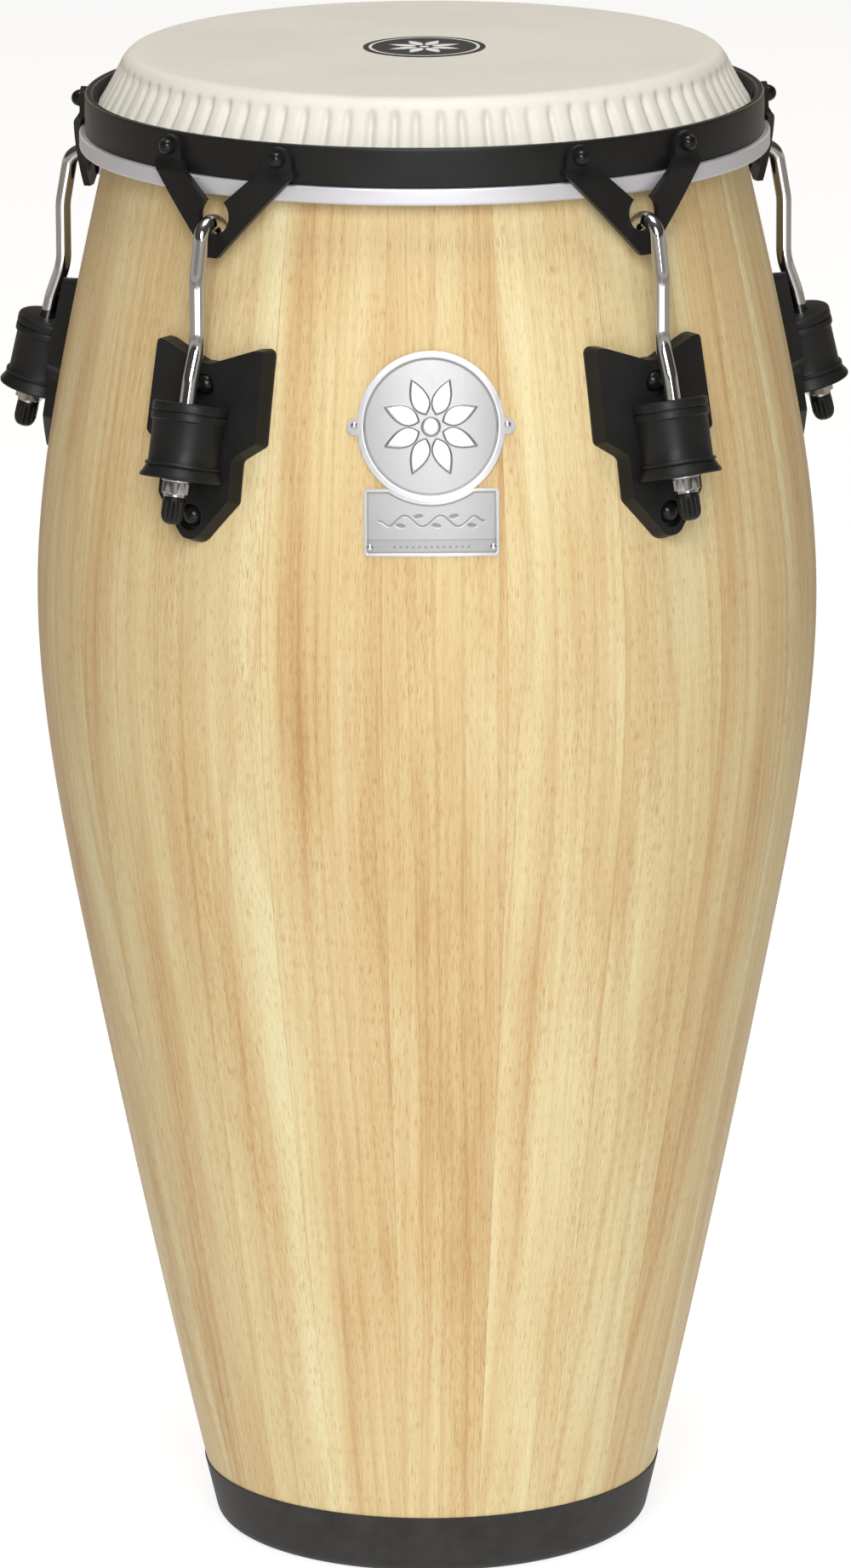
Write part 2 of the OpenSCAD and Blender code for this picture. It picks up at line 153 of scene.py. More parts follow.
def on_face(z):
    """A frame on the shell's face: X out of the wood, Z up the slope."""
    return Matrix.Translation((wood_r(z), 0, z)) @ Matrix.Rotation(-lean_at(z), 4, "Y")


def lug_turn(k):
    """A lug's turn from the front, in degrees."""
    x, y = joints[f"nut_{k}_turn"]["pos_m"][:2]
    return math.degrees(math.atan2(x, -y))


def axis_point():
    """The point on a rod's axis that its nut turns about: radius and height."""
    x, y, z = joints["nut_1_turn"]["pos_m"]
    return math.hypot(x, y) / MM, z / MM


ROD_LEAN = math.degrees(math.acos(-joints["nut_1_turn"]["axis"][2]))


def on_rod():
    """A frame on a lug's threaded rod: Z up the rod."""
    r, z = axis_point()
    return Matrix.Translation((r, 0, z)) @ Matrix.Rotation(math.radians(-ROD_LEAN), 4, "Y")


def rounded(points, steps=6):
    """An outline with each corner rounded; a point is x, y and its corner's radius."""
    out = []
    for i, (x, y, r) in enumerate(points):
        a, b = Vector(points[i - 1][:2]), Vector((x, y))
        c = Vector(points[(i + 1) % len(points)][:2])
        to_a, to_c = (a - b).normalized(), (c - b).normalized()
        half = to_a.angle(to_c) / 2
        middle = b + (to_a + to_c).normalized() * r / math.sin(half)
        start = b + to_a * r / math.tan(half) - middle
        side = -1 if to_a.x * to_c.y - to_a.y * to_c.x > 0 else 1
        for k in range(steps + 1):
            w = side * (math.pi - 2 * half) * k / steps
            out.append((middle.x + start.x * math.cos(w) - start.y * math.sin(w),
                        middle.y + start.x * math.sin(w) + start.y * math.cos(w)))
    return out


def both_sides(right):
    """An outline's right half and its mirror image."""
    return right + [(-x, y, r) for x, y, r in reversed(right) if x > 0]


def arc(cx, cy, r, start, end, steps):
    """Points on an arc, angles in degrees."""
    angles = [math.radians(start + (end - start) * k / steps) for k in range(steps + 1)]
    return [(cx + r * math.cos(a), cy + r * math.sin(a)) for a in angles]


def grid(rows, columns, wrap_rows=False, wrap_columns=False):
    """Faces of a grid of points stored row by row."""
    faces = []
    for j in range(rows if wrap_rows else rows - 1):
        for i in range(columns if wrap_columns else columns - 1):
            a, b = j * columns + i, j * columns + (i + 1) % columns
            c, d = (j + 1) % rows * columns + (i + 1) % columns, (j + 1) % rows * columns + i
            faces.append((a, b, c, d))
    return faces


def revolve(profile, columns, wave=None, closed=True):
    """A profile of radius and height turned about Z.

    wave(angle, radius, height) is added to the radius.
    """
    verts = []
    for r, z in profile:
        for i in range(columns):
            a = 2 * math.pi * i / columns
            rr = r + (wave(a, r, z) if wave else 0)
            verts.append((rr * math.sin(a), -rr * math.cos(a), z))
    return verts, grid(len(profile), columns, closed, True)


def dome(r, height, skirt=0.0):
    """A domed head on the plane X = 0, pointing along X, with its foot sunk a little."""
    steps, around, foot = 12, 28, -0.5
    ball = (r * r + height * height) / (2 * height)
    top = math.acos((ball - height) / ball)
    profile = [(ON_AXIS, foot), (r, foot), (r, skirt)]
    for k in range(1, steps + 1):
        a = top * (1 - k / steps)
        rise = skirt + height - ball + ball * math.cos(a)
        profile.append((max(ball * math.sin(a), ON_AXIS), rise))
    verts, faces = revolve(profile, around, closed=False)
    return [(z, x, y) for x, y, z in verts], faces


class Shape:
    """Points in mm and faces, gathered from several parts, then made into one object."""

    def __init__(self, part=None, matrix=None):
        self.verts, self.faces, self.marks = [], [], {}
        if part:
            self.add(part, matrix)

    def add(self, part, matrix=None):
        base = len(self.verts)
        verts, faces = part
        self.verts += [matrix @ Vector(v) for v in verts] if matrix else [Vector(v) for v in verts]
        self.faces += [tuple(base + i for i in f) for f in faces]
        return self

    def make(self, name, body, node, slot, material, sharp=35, matrix=None, bevel=0.0):
        """One object, shaded smooth up to an angle, on its body in place of its CAD node."""
        mesh = bpy.data.meshes.new(name)
        mesh.from_pydata([(v * MM) for v in self.verts], [], self.faces)
        for mark, values in self.marks.items():
            layer = mesh.attributes.new(mark, "FLOAT_VECTOR", "POINT")
            layer.data.foreach_set("vector", [x for v in values for x in v])
        bm = bmesh.new()
        bm.from_mesh(mesh)
        bmesh.ops.remove_doubles(bm, verts=bm.verts, dist=2e-6)
        bmesh.ops.recalc_face_normals(bm, faces=bm.faces)
        for face in bm.faces:
            face.smooth = True
        for edge in bm.edges:
            edge.smooth = edge.calc_face_angle(0) < math.radians(sharp)
        bm.to_mesh(mesh)
        bm.free()
        mesh.materials.append(material)
        piece = bpy.data.objects.new(name, mesh)
        bpy.context.collection.objects.link(piece)
        if matrix:
            place = matrix.copy()
            place.translation *= MM
            piece.matrix_world = place
        if bevel:
            edges = piece.modifiers.new("edges", "BEVEL")
            edges.width, edges.segments, edges.limit_method = bevel * MM, 3, "ANGLE"
            edges.angle_limit, edges.harden_normals = math.radians(50), False
        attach(piece, body)
        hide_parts(node)


def less(part, holes):
    """A part, as points and faces, with other parts cut out of it."""
    pieces = []
    for verts, faces in (part, holes):
        mesh = bpy.data.meshes.new("cutting")
        mesh.from_pydata([tuple(v) for v in verts], [], faces)
        pieces.append(bpy.data.objects.new("cutting", mesh))
        bpy.context.collection.objects.link(pieces[-1])
    cut = pieces[0].modifiers.new("cut", "BOOLEAN")
    cut.object, cut.operation, cut.solver = pieces[1], "DIFFERENCE", "EXACT"
    result = pieces[0].evaluated_get(bpy.context.evaluated_depsgraph_get()).to_mesh()
    verts = [v.co.copy() for v in result.vertices]
    faces = [tuple(f.vertices) for f in result.polygons]
    for piece in pieces:
        mesh = piece.data
        bpy.data.objects.remove(piece)
        bpy.data.meshes.remove(mesh)
    return verts, faces


def inward(outline, spot, draft, reach=8.0):
    """How far a point near an outline moves in from it, so that a plate's walls slope."""
    best, pull = reach, Vector((0, 0))
    for a, b in zip(outline, outline[1:] + outline[:1]):
        a, side = Vector(a), Vector(b) - Vector(a)
        share = min(1, max(0, (spot - a).dot(side) / side.length_squared))
        away = (a + side * share - spot).length
        normal = Vector((-side.y, side.x)).normalized()
        if away < best - 1e-3:
            best, pull = away, normal
        elif abs(away - best) <= 1e-3:
            pull = pull + normal
    return pull.normalized() * draft * (1 - best / reach) if pull.length else pull


def bent_plate(outline, thick, place, cut, draft=0.0, holes=None):
    """A flat outline, cut into a mesh every few mm, thickened, and bent by place(u, v, depth)."""
    bm = bmesh.new()
    bm.faces.new([bm.verts.new((u, v, 0)) for u, v in outline])
    for axis in (0, 1):
        low = min(p[axis] for p in outline)
        high = max(p[axis] for p in outline)
        across = Vector((1, 0, 0)) if axis == 0 else Vector((0, 1, 0))
        for k in range(math.ceil(low / cut), math.floor(high / cut) + 1):
            bmesh.ops.bisect_plane(bm, geom=bm.verts[:] + bm.edges[:] + bm.faces[:],
                                   plane_co=across * k * cut, plane_no=across)
    grown = bmesh.ops.extrude_face_region(bm, geom=bm.faces[:])
    for v in grown["geom"]:
        if isinstance(v, bmesh.types.BMVert):
            v.co.z = thick
            if draft:
                v.co.xy += inward(outline, v.co.xy, draft)
    bmesh.ops.recalc_face_normals(bm, faces=bm.faces)
    bm.verts.index_update()
    part = [v.co.copy() for v in bm.verts], [tuple(v.index for v in f.verts) for f in bm.faces]
    bm.free()
    if holes:
        part = less(part, holes)
    return [place(*v) for v in part[0]], part[1]


def face_place(base, z_mid):
    """A function that bends a plate onto the shell, base mm off the wood.

    It takes u sideways, v up the slope at z_mid, and depth out of the wood.
    """
    lean = lean_at(z_mid)

    def place(u, v, depth):
        out = base + depth
        for _ in range(4):
            z = z_mid + v * math.cos(lean) + out * math.sin(lean)
            x = math.sqrt((wood_r(z) + base + depth) ** 2 - u * u)
            out = (x - wood_r(z_mid) + v * math.sin(lean)) / math.cos(lean)
        return x, u, z
    return place


# ---- materials ----

def set_stops(node, stops):
    """Fill a colour ramp: each stop is a place from 0 to 1 and a colour."""
    elements = node.color_ramp.elements
    while len(elements) < len(stops):
        elements.new(0.5)
    for element, (place, colour) in zip(elements, stops):
        element.position = place
        element.color = (*colour, 1)


class Nodes:
    """A material's node tree, with its Principled shader ready."""

    def __init__(self, name):
        self.material = bpy.data.materials.new(name)
        self.material.use_nodes = True
        self.tree = self.material.node_tree
        self.shader = self.tree.nodes["Principled BSDF"]

    def add(self, kind, inputs=None, **settings):
        node = self.tree.nodes.new("ShaderNode" + kind)
        for key, value in settings.items():
            setattr(node, key, value)
        for key, value in (inputs or {}).items():
            self.plug(value, node.inputs[key])
        return node

    def plug(self, value, socket):
        if isinstance(value, bpy.types.NodeSocket):
            self.tree.links.new(value, socket)
        else:
            socket.default_value = value

    def set(self, **inputs):
        for key, value in inputs.items():
            self.plug(value, self.shader.inputs[key.replace("_", " ")])

    def math(self, operation, a, b=0.0, c=0.0):
        return self.add("Math", {0: a, 1: b, 2: c}, operation=operation).outputs[0]

    def vector(self, operation, a, b=(0, 0, 0)):
        return self.add("VectorMath", {0: a, 1: b}, operation=operation).outputs[0]

    def noise(self, vector, scale=1.0, detail=2.0, rough=0.5):
        inputs = {"Vector": vector, "Scale": scale, "Detail": detail, "Roughness": rough}
        return self.add("TexNoise", inputs).outputs["Fac"]

    def ramp(self, value, *stops):
        """A value turned into a colour, by stops of a place and a colour or a grey."""
        ramp = self.add("ValToRGB", {"Fac": value})
        set_stops(ramp, [(at, c if isinstance(c, tuple) else (c, c, c)) for at, c in stops])
        return ramp.outputs["Color"]

    def mix(self, amount, a, b):
        """Colour a with an amount of colour b over it; 0, 6 and 7 are a colour mix's sockets."""
        node = self.add("Mix", data_type="RGBA")
        for socket, value in ((0, amount), (6, a), (7, b)):
            self.plug((*value, 1) if isinstance(value, tuple) else value, node.inputs[socket])
        return node.outputs[2]

    def bump(self, height, strength, distance):
        node = self.add("Bump", {"Height": height, "Strength": strength, "Distance": distance})
        self.set(Normal=node.outputs[0])

    def place(self):
        return self.add("TexCoord").outputs["Object"]

    def mark(self, name):
        """The three numbers of a mark that a shape holds for each of its points."""
        return self.split(self.add("Attribute", attribute_name=name).outputs["Vector"])

    def split(self, vector):
        return self.add("SeparateXYZ", {0: vector}).outputs


def wood_material():
    """Lacquered rubberwood: growth rings cut by the board's face, streaks, pores and seams.

    The mark board is a place on the board in metres: across, along and deep. The mark plank is
    three random numbers for the board, and edge says how near a point is to the board's sides.
    """
    m = Nodes("shell_wood")
    board = m.add("Attribute", attribute_name="board").outputs["Vector"]
    seed, tone, figure = m.mark("plank")
    apart = {i: m.math("MULTIPLY", seed, far) for i, far in enumerate((37.0, 91.0, 53.0))}
    shift = m.add("CombineXYZ", apart).outputs[0]

    def along(x, y, z):
        """Where to read a noise of x, y and z waves to the metre, elsewhere for each board."""
        return m.vector("ADD", m.vector("MULTIPLY", board, (x, y, z)), shift)

    # growth rings round the log's heart, which lies behind the board and drifts along it
    wander = m.math("SUBTRACT", m.noise(along(14, 2.2, 14), detail=3), 0.5)
    side, length, _ = m.split(board)
    side = m.math("ADD", side, m.math("MULTIPLY", wander, 0.022))
    heart_x = m.math("MULTIPLY", m.math("SUBTRACT", figure, 0.5), 0.16)
    drift = m.math("MULTIPLY_ADD", seed, 0.09, -0.045)
    heart_z = m.math("MULTIPLY_ADD", length, drift, 0.045)
    heart_z = m.math("ADD", heart_z, m.math("MULTIPLY", wander, 0.02))
    dx = m.math("SUBTRACT", side, heart_x)
    squares = m.math("ADD", m.math("MULTIPLY", dx, dx), m.math("MULTIPLY", heart_z, heart_z))
    reach = m.math("SQRT", squares)
    grown = m.math("MULTIPLY_ADD", reach, 210.0, m.math("MULTIPLY", seed, 40.0))
    rings = m.add("TexNoise", {"W": grown, "Scale": 1.0, "Detail": 3.0, "Roughness": 0.6},
                  noise_dimensions="1D").outputs["Fac"]
    streaks = m.noise(along(330, 3.2, 330), detail=4, rough=0.62)
    fibres = m.noise(along(1500, 22, 1500), detail=2)
    clouds = m.noise(along(40, 4.5, 40), detail=4, rough=0.55)

    # pale sapwood along one side of some boards
    nearness, share, _ = m.mark("edge")
    towards = m.math("MULTIPLY", share, m.math("SIGN", m.math("SUBTRACT", seed, 0.5)))
    sap = m.ramp(m.math("MULTIPLY_ADD", wander, 1.4, towards), (0.50, 0.0), (0.85, 1.0))
    sap = m.math("MULTIPLY", sap, m.ramp(figure, (0.40, 0.0), (0.55, 1.0)))

    # pale to dark
    mixed = m.math("MULTIPLY", rings, 0.17)
    for layer, weight in ((streaks, 0.22), (clouds, 0.45), (fibres, 0.16),
                          (m.math("SUBTRACT", tone, 0.5), 0.10), (sap, -0.11)):
        mixed = m.math("MULTIPLY_ADD", layer, weight, mixed)
    colour = m.ramp(mixed, (0.34, (0.690, 0.605, 0.360)), (0.46, (0.625, 0.505, 0.275)),
                    (0.56, (0.570, 0.420, 0.215)), (0.68, (0.450, 0.285, 0.128)))

    # dark, narrow growth lines and open pores
    line = m.ramp(rings, (0.60, 0.0), (0.68, 1.0), (0.72, 0.25))
    colour = m.mix(m.math("MULTIPLY", line, 0.16), colour, (0.38, 0.200, 0.070))
    pores = m.noise(along(3300, 150, 3300), detail=1)
    crowd = m.noise(along(60, 5, 60), detail=2)
    pores = m.math("ADD", pores, m.math("MULTIPLY", m.math("SUBTRACT", crowd, 0.5), 0.24))
    fleck = m.ramp(pores, (0.57, 0.0), (0.67, 1.0))
    colour = m.mix(m.math("MULTIPLY", fleck, 0.50), colour, (0.38, 0.165, 0.045))

    # the glue line at each side of the board
    seam = m.ramp(nearness, (0.985, 0.0), (0.997, 1.0))
    colour = m.mix(m.math("MULTIPLY", seam, 0.35), colour, (0.36, 0.18, 0.06))

    m.set(Base_Color=colour, Roughness=m.math("MULTIPLY_ADD", streaks, 0.14, 0.36),
          Specular_IOR_Level=0.09)
    relief = m.math("SUBTRACT", m.math("MULTIPLY", fibres, 0.25), fleck)
    m.bump(relief, 0.22, 0.00025)
    return m.material


def coating_material(name, tint, roughness, grain, strength):
    """Black powder coat or a coated casting: fine orange peel and slight tone changes."""
    m = Nodes(name)
    place = m.place()
    wear = m.noise(place, 24, 4, 0.6)
    m.set(Base_Color=m.ramp(wear, (0.35, tint * 0.8), (0.65, tint * 1.25)),
          Roughness=m.math("MULTIPLY_ADD", wear, 0.10, roughness - 0.05), Specular_IOR_Level=0.22)
    m.bump(m.noise(place, grain, 3, 0.55), strength, 0.0003)
    return m.material


def rubber_material():
    """Matt black rubber, slightly dusty."""
    m = Nodes("foot_rubber")
    place = m.place()
    dust = m.noise(place, 60, 5, 0.7)
    m.set(Base_Color=m.ramp(dust, (0.3, (0.020, 0.019, 0.018)), (0.7, (0.036, 0.034, 0.032))),
          Roughness=m.math("MULTIPLY_ADD", dust, 0.14, 0.50), Specular_IOR_Level=0.22)
    m.bump(m.noise(place, 1400, 2, 0.5), 0.22, 0.0003)
    return m.material


def skin_material():
    """Cream synthetic skin: faint cloudy fibres and a soft sheen."""
    m = Nodes("skin")
    place = m.place()
    fibres = m.noise(m.vector("MULTIPLY", place, (260, 900, 260)), 1, 4, 0.7)
    clouds = m.noise(place, 11, 4, 0.6)
    tone = m.math("MULTIPLY_ADD", fibres, 0.35, m.math("MULTIPLY", clouds, 0.65))
    m.set(Base_Color=m.ramp(tone, (0.32, (0.575, 0.553, 0.485)), (0.68, (0.640, 0.622, 0.555))),
          Roughness=m.math("MULTIPLY_ADD", fibres, 0.12, 0.46), Specular_IOR_Level=0.4,
          Subsurface_Weight=0.08, Subsurface_Scale=0.004)
    m.bump(fibres, 0.10, 0.0003)
    return m.material


def metal_material(name, tint, roughness, brushed, metallic=1.0):
    """Bare metal: chrome, satin aluminium or zinc, with a faint brushed or wiped variation."""
    m = Nodes(name)
    place = m.place()
    wipe = m.noise(m.vector("MULTIPLY", place, brushed), 1, 3, 0.6)
    darker = tuple(c * 0.95 for c in tint)
    m.set(Base_Color=m.ramp(wipe, (0.3, darker), (0.7, tint)), Metallic=metallic,
          Roughness=m.math("MULTIPLY_ADD", wipe, roughness * 0.6, roughness * 0.7))
    m.bump(wipe, 0.04, 0.0002)
    return m.material


def inked_material(name, plain, ink, metallic, roughness):
    """A surface with a pattern held in the mark ink, print on the label and print with dark lines
    of painted shade on the badge: first ink, then raised metal.
    """
    m = Nodes(name)
    place = m.place()
    drawn, raised, _ = m.mark("ink")
    wipe = m.noise(m.vector("MULTIPLY", place, (900, 900, 60)), 1, 3, 0.6)
    darker = tuple(c * 0.93 for c in plain)
    polished = tuple(min(1.0, c * 1.35) for c in plain)
    base = m.mix(raised, m.ramp(wipe, (0.3, darker), (0.7, plain)), polished)
    wiped = m.math("MULTIPLY_ADD", wipe, roughness * 0.5, roughness * 0.75)
    m.set(Base_Color=m.mix(drawn, base, ink), Metallic=metallic,
          Roughness=m.math("MULTIPLY_ADD", raised, -roughness * 0.2, wiped))
    m.bump(wipe, 0.03, 0.00008)
    return m.material


WOOD = wood_material()
POWDER = coating_material("black_coating", 0.0085, 0.38, 1500, 0.14)
CASTING = coating_material("black_casting", 0.0095, 0.42, 1100, 0.22)
FASTENER = coating_material("black_fastener", 0.0075, 0.20, 900, 0.05)
CAP_BLACK = coating_material("cap_plastic", 0.0085, 0.32, 700, 0.06)
RUBBER = rubber_material()
SKIN_CREAM = skin_material()
HOOP_METAL = metal_material("hoop_metal", (0.60, 0.60, 0.64), 0.40, (40, 40, 900), 0.55)
CHROME = metal_material("chrome", (0.54, 0.54, 0.55), 0.06, (90, 90, 90))
PLATED = metal_material("plated_nut", (0.50, 0.50, 0.51), 0.20, (50, 50, 50))
ZINC = metal_material("zinc_steel", (0.62, 0.63, 0.64), 0.30, (300, 300, 300))
BADGE_METAL = inked_material("badge_metal", (0.355, 0.355, 0.365), (0.07, 0.07, 0.075), 0.72, 0.44)
PRINT = inked_material("head_print", (0.020, 0.020, 0.024), (0.72, 0.71, 0.67), 0.0, 0.40)


# ---- shell ----

def shell_profile():
    """The stave's outline as radius, height, length along the face and depth below it."""
    steps, rim_height = 120, 14
    rise = BEARING_Z - rim_height - SHELL_BASE
    outer = [SHELL_BASE + rise * k / steps for k in range(steps + 1)]
    # the rim, as seen from the bearing edge
    rim = [(6.9, -4), (5.2, -2), (3, -0.6), (0, 0), (-3, -1.2), (-4.6, -5)]
    points = [(wood_r(z), z, 0) for z in outer]
    points += [(BEARING_R + x, BEARING_Z + y, 8 - x) for x, y in rim]
    points += [(wood_r(z) - WALL, z, WALL) for z in outer[::-3]]
    return points


def stave(index, name, profile):
    """One board: its profile turned through its share of the circle, and marks for its grain."""
    chance = random.Random(STAVE_SEED + index)
    middle = STAVE_TURN + STAVE_ANGLE * index
    shares = [-1, -0.985, -0.9, -0.6, -0.3, 0, 0.3, 0.6, 0.9, 0.985, 1]
    shape = Shape()
    board, edge = [], []
    for r, z, depth in profile:
        for share in shares:
            turn = math.radians(middle + share * STAVE_ANGLE / 2)
            shape.verts.append(Vector((r * math.sin(turn), -r * math.cos(turn), z)))
            board.append((share * math.radians(STAVE_ANGLE / 2) * r * MM, z * MM, depth * MM))
            edge.append((abs(share), share, 0))
    n = len(shares)
    shape.faces = grid(len(profile), n, wrap_rows=True)
    shape.faces.append(tuple(range(0, len(profile) * n, n))[::-1])
    shape.faces.append(tuple(range(n - 1, len(profile) * n, n)))
    kind = (chance.random(), chance.random(), chance.random())
    shape.marks = {"board": board, "edge": edge, "plank": [kind] * len(shape.verts)}
    shape.make(name + "_wood", "shell", name, "shell_wood", WOOD, sharp=40)


def make_shell():
    profile = shell_profile()
    for index, name in enumerate(STAVES):
        stave(index, name, profile)


def make_foot():
    """The rubber ring: a rounded bottom edge and a soft lip where it meets the wood."""
    base, top, gap = SHELL_BASE, FOOT_HIGH.z, 0.2
    inside = wood_r(base) - WALL - 1
    outside = FOOT_HIGH.x - wood_r(top)
    proud = outside if outside < 2 else 0.8
    outline = rounded([(inside, 0, 1.5), (wood_r(0) + proud, 0, 8),
                       (wood_r(top) + proud, top, 0.35), (wood_r(top) + gap, top, 0.1),
                       (wood_r(base) + gap, base, 0.1), (inside, base, 0.4)], 8)
    Shape(revolve(outline, 240)).make(
        "foot_ring_rubber", "shell", "foot_ring", "foot_rubber", RUBBER)


# ---- skin, hoop and ring ----

def pleat(angle, r, z):
    """Crimped pleats below the shoulder: broad crests and narrow valleys, each its own."""
    depth = smooth(HEAD_Z - 3.5, HEAD_Z - 11.0, z)
    if depth == 0:
        return 0
    turns = angle / (2 * math.pi) * PLEATS
    which = math.floor(turns)
    chance = random.Random(which)
    phase = turns - which
    middle = 0.14 * (chance.random() - 0.5)
    valley = math.exp(-(((phase - 0.5 - middle) / PLEAT_VALLEY) ** 2))
    ripple = 0.10 * math.sin(math.pi * 2 * phase)
    return -depth * ((0.65 + 0.7 * chance.random()) * valley * PLEAT_DEPTH - 0.15 + ripple)


def make_head():
    """The skin: a flat top, a curl over the bearing edge, the pleated collar and a hidden skirt."""
    z, steps = HEAD_Z, 22
    skirt, hem = RING_R - RING_T - 1.2, RING_LOW.z + 0.1
    top = [(ON_AXIS, z), (LABEL_HIGH.x * 0.5, z), (LABEL_HIGH.x, z)]
    top += [(r, z) for r in range(40, 141, 8)]
    curl = [(142, z), (143.6, z - 0.1), (145, z - 0.35), (146.3, z - 0.85), (147.5, z - 1.6),
            (148.7, z - 2.7), (149.8, z - 4.0), (150.9, z - 5.6)]
    collar = []
    for t in [k / steps for k in range(steps + 1)]:
        collar.append((151.1 + 10.9 * t, z - 6.2 - 19.8 * t - 0.8 * math.sin(math.pi * t)))
    drop = [(162.9, z - 28.6), (163.8, z - 31.4), (skirt, z - 34), (skirt, hem)]
    under = [(skirt - SKIN, hem), (skirt - SKIN, z - 33)]
    under += [(r - SKIN * 0.95, h - SKIN * 0.7) for r, h in collar[::-3]]
    under += [(BEARING_R + 2, z - SKIN), (ON_AXIS, z - SKIN)]
    profile = top + curl + collar + drop + under
    Shape(revolve(profile, PLEATS * 12, pleat, closed=False)).make(
        "skin_film", "crown", "drum_head", "skin", SKIN_CREAM, sharp=60)


def petals(u, v, count, low, high, width):
    """1 inside one of a ring of pointed petals, 0 outside, with a soft edge."""
    r, a = math.hypot(u, v), math.atan2(v, u)
    part = (a / (2 * math.pi) * count) % 1 - 0.5
    reach = (r - low) / (high - low)
    if not 0 < reach < 1:
        return 0
    half = width * math.sin(math.pi * reach ** 0.8)
    return smooth(half, half - 0.35, abs(part) * 2 * math.pi / count * r)


def band_at(r, low, high, soft=0.3):
    """1 between low and high, 0 outside, with soft edges."""
    return smooth(low - soft, low, r) * smooth(high + soft, high, r)


def make_label():
    """A printed disc: a black ground, a cream ring and a rosette."""
    shape = Shape()
    shape.marks["ink"] = []
    radius, top, thick = LABEL_HIGH.x, LABEL_HIGH.z, 0.28
    steps, around = 60, 144
    rows = [(radius * k / steps, top) for k in range(steps + 1)]
    rows += [(radius, top - thick), (0.0, top - thick)]
    for r, z in rows:
        for i in range(around):
            a = 2 * math.pi * i / around
            u, v = r * math.cos(a), r * math.sin(a)
            shape.verts.append(Vector((u, v, z)))
            ring = band_at(r, radius - 4.0, radius - 3.1)
            mark = max(ring, petals(u, v, 8, 4, 19, 3.2), band_at(r, 0, 2))
            shape.marks["ink"].append((mark, 0, 0))
    shape.faces = grid(len(rows), around, wrap_columns=True)
    shape.make("head_label_print", "crown", "head_label", "head_print", PRINT)


def make_rings():
    """The black tension ring and, showing below it, the metal hoop."""
    inner, low, high = RING_R - RING_T, RING_LOW.z, RING_HIGH.z
    bar = rounded([(inner, low, 0.8), (RING_R, low, 0.8), (RING_R, high, 1.3), (inner, high, 1.3)])
    Shape(revolve(bar, 300)).make(
        "tension_ring_bar", "crown", "tension_ring", "black_coating", POWDER)
    inner, outer, low, high = HOOP_INNER, HOOP_HIGH.x, HOOP_LOW.z, HOOP_HIGH.z - 0.02
    hoop = rounded([(inner, low, 0.5), (outer, low, 1.6), (outer, high, 0.8), (inner, high, 0.5)])
    Shape(revolve(hoop, 300)).make(
        "flesh_hoop_metal", "crown", "flesh_hoop", "hoop_metal", HOOP_METAL)


def make_ring_plates():
    """The V-shaped plates that the hooks hold, and the rivets through their tabs."""
    tab_x = RING_R * math.sin(math.radians(TAB_TURN))
    tab_top = TAB_Z + 5.8
    left, right = tab_x - TAB_W / 2, tab_x + TAB_W / 2
    corners = [(3, V_BOTTOM, 2.5), (42, V_FOLD, 2), (right, V_FOLD + 3, 1.5), (right, tab_top, 7.4),
               (left, tab_top, 7.4), (left, V_FOLD + 2, 1.5), (21, V_FOLD - 1.5, 1.5)]
    half = rounded([(0, V_BOTTOM - 6, 0.1), *corners, (0, V_HOLE_Z, 0.1)])
    reach = math.degrees(math.acos(V_NOTCH / V_HOLE_R))
    arm = [(x, z) for x, z in half if x > 0.6 and math.hypot(x, z - V_HOLE_Z) > V_HOLE_R]
    hole = arc(0, V_HOLE_Z, V_HOLE_R, reach, -90, 14)
    outline = arm + hole + [(-x, z) for x, z in (arm + hole[:-1])[::-1]]

    def place(u, z, depth):
        """The tabs lie on the ring; below the fold the plate stands out and leans away."""
        fold = 3.2 * smooth(V_FOLD + 2.6, V_FOLD - 3.4, z)
        rise = 0.05 + fold + 3.4 * max(0, (V_FOLD - 3 - z) / 40)
        return math.sqrt((RING_R + rise + depth) ** 2 - u * u), u, z

    part = bent_plate(outline, V_T, place, 2.0)
    rivets = Shape()
    for k in LUGS:
        Shape(part).make(f"ring_plate_{k}_steel", "crown", f"ring_plate_{k}", "black_coating",
                         POWDER, matrix=at_turn(lug_turn(k)), bevel=0.5)
        for side in (-TAB_TURN, TAB_TURN):
            tab = at_turn(lug_turn(k) + side)
            outer = Matrix.Translation((RING_R + V_T + 0.05, 0, TAB_Z))
            inner = Matrix.Translation((RING_R - RING_T - 0.05, 0, TAB_Z))
            rivets.add(dome(4.2, 4.4, 0.5), tab @ outer)
            rivets.add(dome(3.4, 0.5), tab @ inner @ Matrix.Rotation(math.pi, 4, "Z"))
    rivets.make("rivet_heads", "crown", "ring_rivets", "black_coating", FASTENER)


# ---- tuning lugs ----

